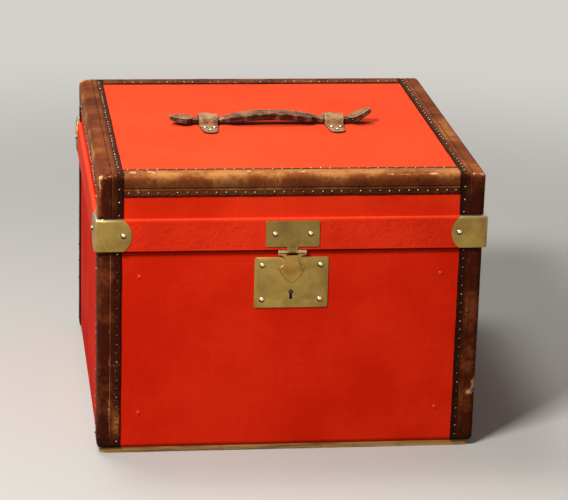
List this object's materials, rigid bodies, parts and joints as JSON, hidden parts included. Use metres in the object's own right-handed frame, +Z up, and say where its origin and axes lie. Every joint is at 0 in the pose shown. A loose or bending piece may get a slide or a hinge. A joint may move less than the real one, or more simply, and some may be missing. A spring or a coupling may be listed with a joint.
{
  "type": "flat-top trunk",
  "caption": "Flat-top wooden trunk in red painted canvas, bound with nailed leather, with a deep hinged lid, brass corners, a hasp lock and a leather carrying handle.",
  "frame": {"origin": "middle of the base board's underside, on the ground under the middle of the trunk", "axes": "+Z up, -Y towards the front with the lock, +X to the right seen from the front"},
  "size_m": [0.493, 0.5003, 0.3848],
  "materials": {
    "poplar": "bare planed poplar boards",
    "painted_canvas": "canvas painted red, satin",
    "cotton_lining": "plain glued cotton",
    "binding_leather": "waxed brown leather, worn",
    "painted_band": "beech painted red, satin",
    "sheet_brass": "aged sheet brass",
    "cast_brass": "aged cast brass",
    "brass_nail": "polished brass nail heads",
    "painted_rivet": "iron rivets painted over in red",
    "handle_leather": "thick stitched bridle leather, worn",
    "plain_steel": "plain dull steel"
  },
  "bodies": {
    "trunk_body": {"base_board": "poplar", "front_board": "poplar", "back_board": "poplar", "left_board": "poplar", "right_board": "poplar", "body_canvas": "painted_canvas", "body_lining": "cotton_lining", "body_binding_front_left": "binding_leather", "body_binding_front_right": "binding_leather", "body_binding_back_left": "binding_leather", "body_binding_back_right": "binding_leather", "lock_plate": "sheet_brass", "lock_case": "plain_steel", "lock_drill_pin": "plain_steel", "lock_spring": "plain_steel", "lock_plate_nails": "brass_nail", "body_rivets": "painted_rivet", "body_rivet_washers": "plain_steel", "hinge_body_leaf_left": "plain_steel", "hinge_body_leaf_right": "plain_steel", "hinge_body_rivets": "plain_steel", "hinge_pin_left": "plain_steel", "hinge_pin_right": "plain_steel"},
    "lid": {"lid_top_board": "poplar", "lid_front_rail": "poplar", "lid_back_rail": "poplar", "lid_left_rail": "poplar", "lid_right_rail": "poplar", "lid_canvas": "painted_canvas", "lid_lining": "cotton_lining", "lid_binding_left": "binding_leather", "lid_binding_right": "binding_leather", "lid_binding_front": "binding_leather", "lid_binding_back": "binding_leather", "band_front": "painted_band", "band_back": "painted_band", "band_left": "painted_band", "band_right": "painted_band", "corner_brass_front_left": "sheet_brass", "corner_brass_front_right": "sheet_brass", "corner_brass_back_left": "sheet_brass", "corner_brass_back_right": "sheet_brass", "corner_nails": "brass_nail", "hasp_plate": "sheet_brass", "hasp_plate_nails": "brass_nail", "hasp_pin": "plain_steel", "hinge_lid_leaf_left": "plain_steel", "hinge_lid_leaf_right": "plain_steel", "hinge_lid_rivets": "plain_steel", "handle_loop_left": "handle_leather", "handle_loop_right": "handle_leather", "handle_loop_nails": "brass_nail", "lid_rivets": "painted_rivet", "lid_rivet_washers": "plain_steel"},
    "hasp": {"hasp": "cast_brass"},
    "lock_bolt": {"lock_bolt": "plain_steel"},
    "handle_grip": {"handle_grip": "handle_leather"},
    "handle_end_left": {"handle_end_left": "handle_leather"},
    "handle_end_right": {"handle_end_right": "handle_leather"}
  },
  "joints": [
    {"name": "lid_hinge", "type": "hinge", "parent": "trunk_body", "child": "lid", "pos_m": [0, 0.2486, 0.268], "axis": [-1, 0, 0], "range_deg": [0, 100]},
    {"name": "hasp_hinge", "type": "hinge", "parent": "lid", "child": "hasp", "pos_m": [0, -0.2441, 0.2651], "axis": [-1, 0, 0], "range_deg": [0, 135]},
    {"name": "bolt_slide", "type": "slide", "parent": "trunk_body", "child": "lock_bolt", "axis": [1, 0, 0], "range_m": [0, 0.008]},
    {"name": "handle_lift", "type": "slide", "parent": "lid", "child": "handle_grip", "axis": [0, 0, 1], "range_m": [0, 0.02]},
    {"name": "handle_left_slide", "type": "slide", "parent": "handle_grip", "child": "handle_end_left", "axis": [0.2873, 0, -0.9578], "range_m": [0, 0.0209]},
    {"name": "handle_right_slide", "type": "slide", "parent": "handle_grip", "child": "handle_end_right", "axis": [-0.2873, 0, -0.9578], "range_m": [0, 0.0209]}
  ],
  "couplings": [
    {"joint": "handle_left_slide", "follows": "handle_lift", "ratio": 1.044},
    {"joint": "handle_right_slide", "follows": "handle_lift", "ratio": 1.044}
  ]
}
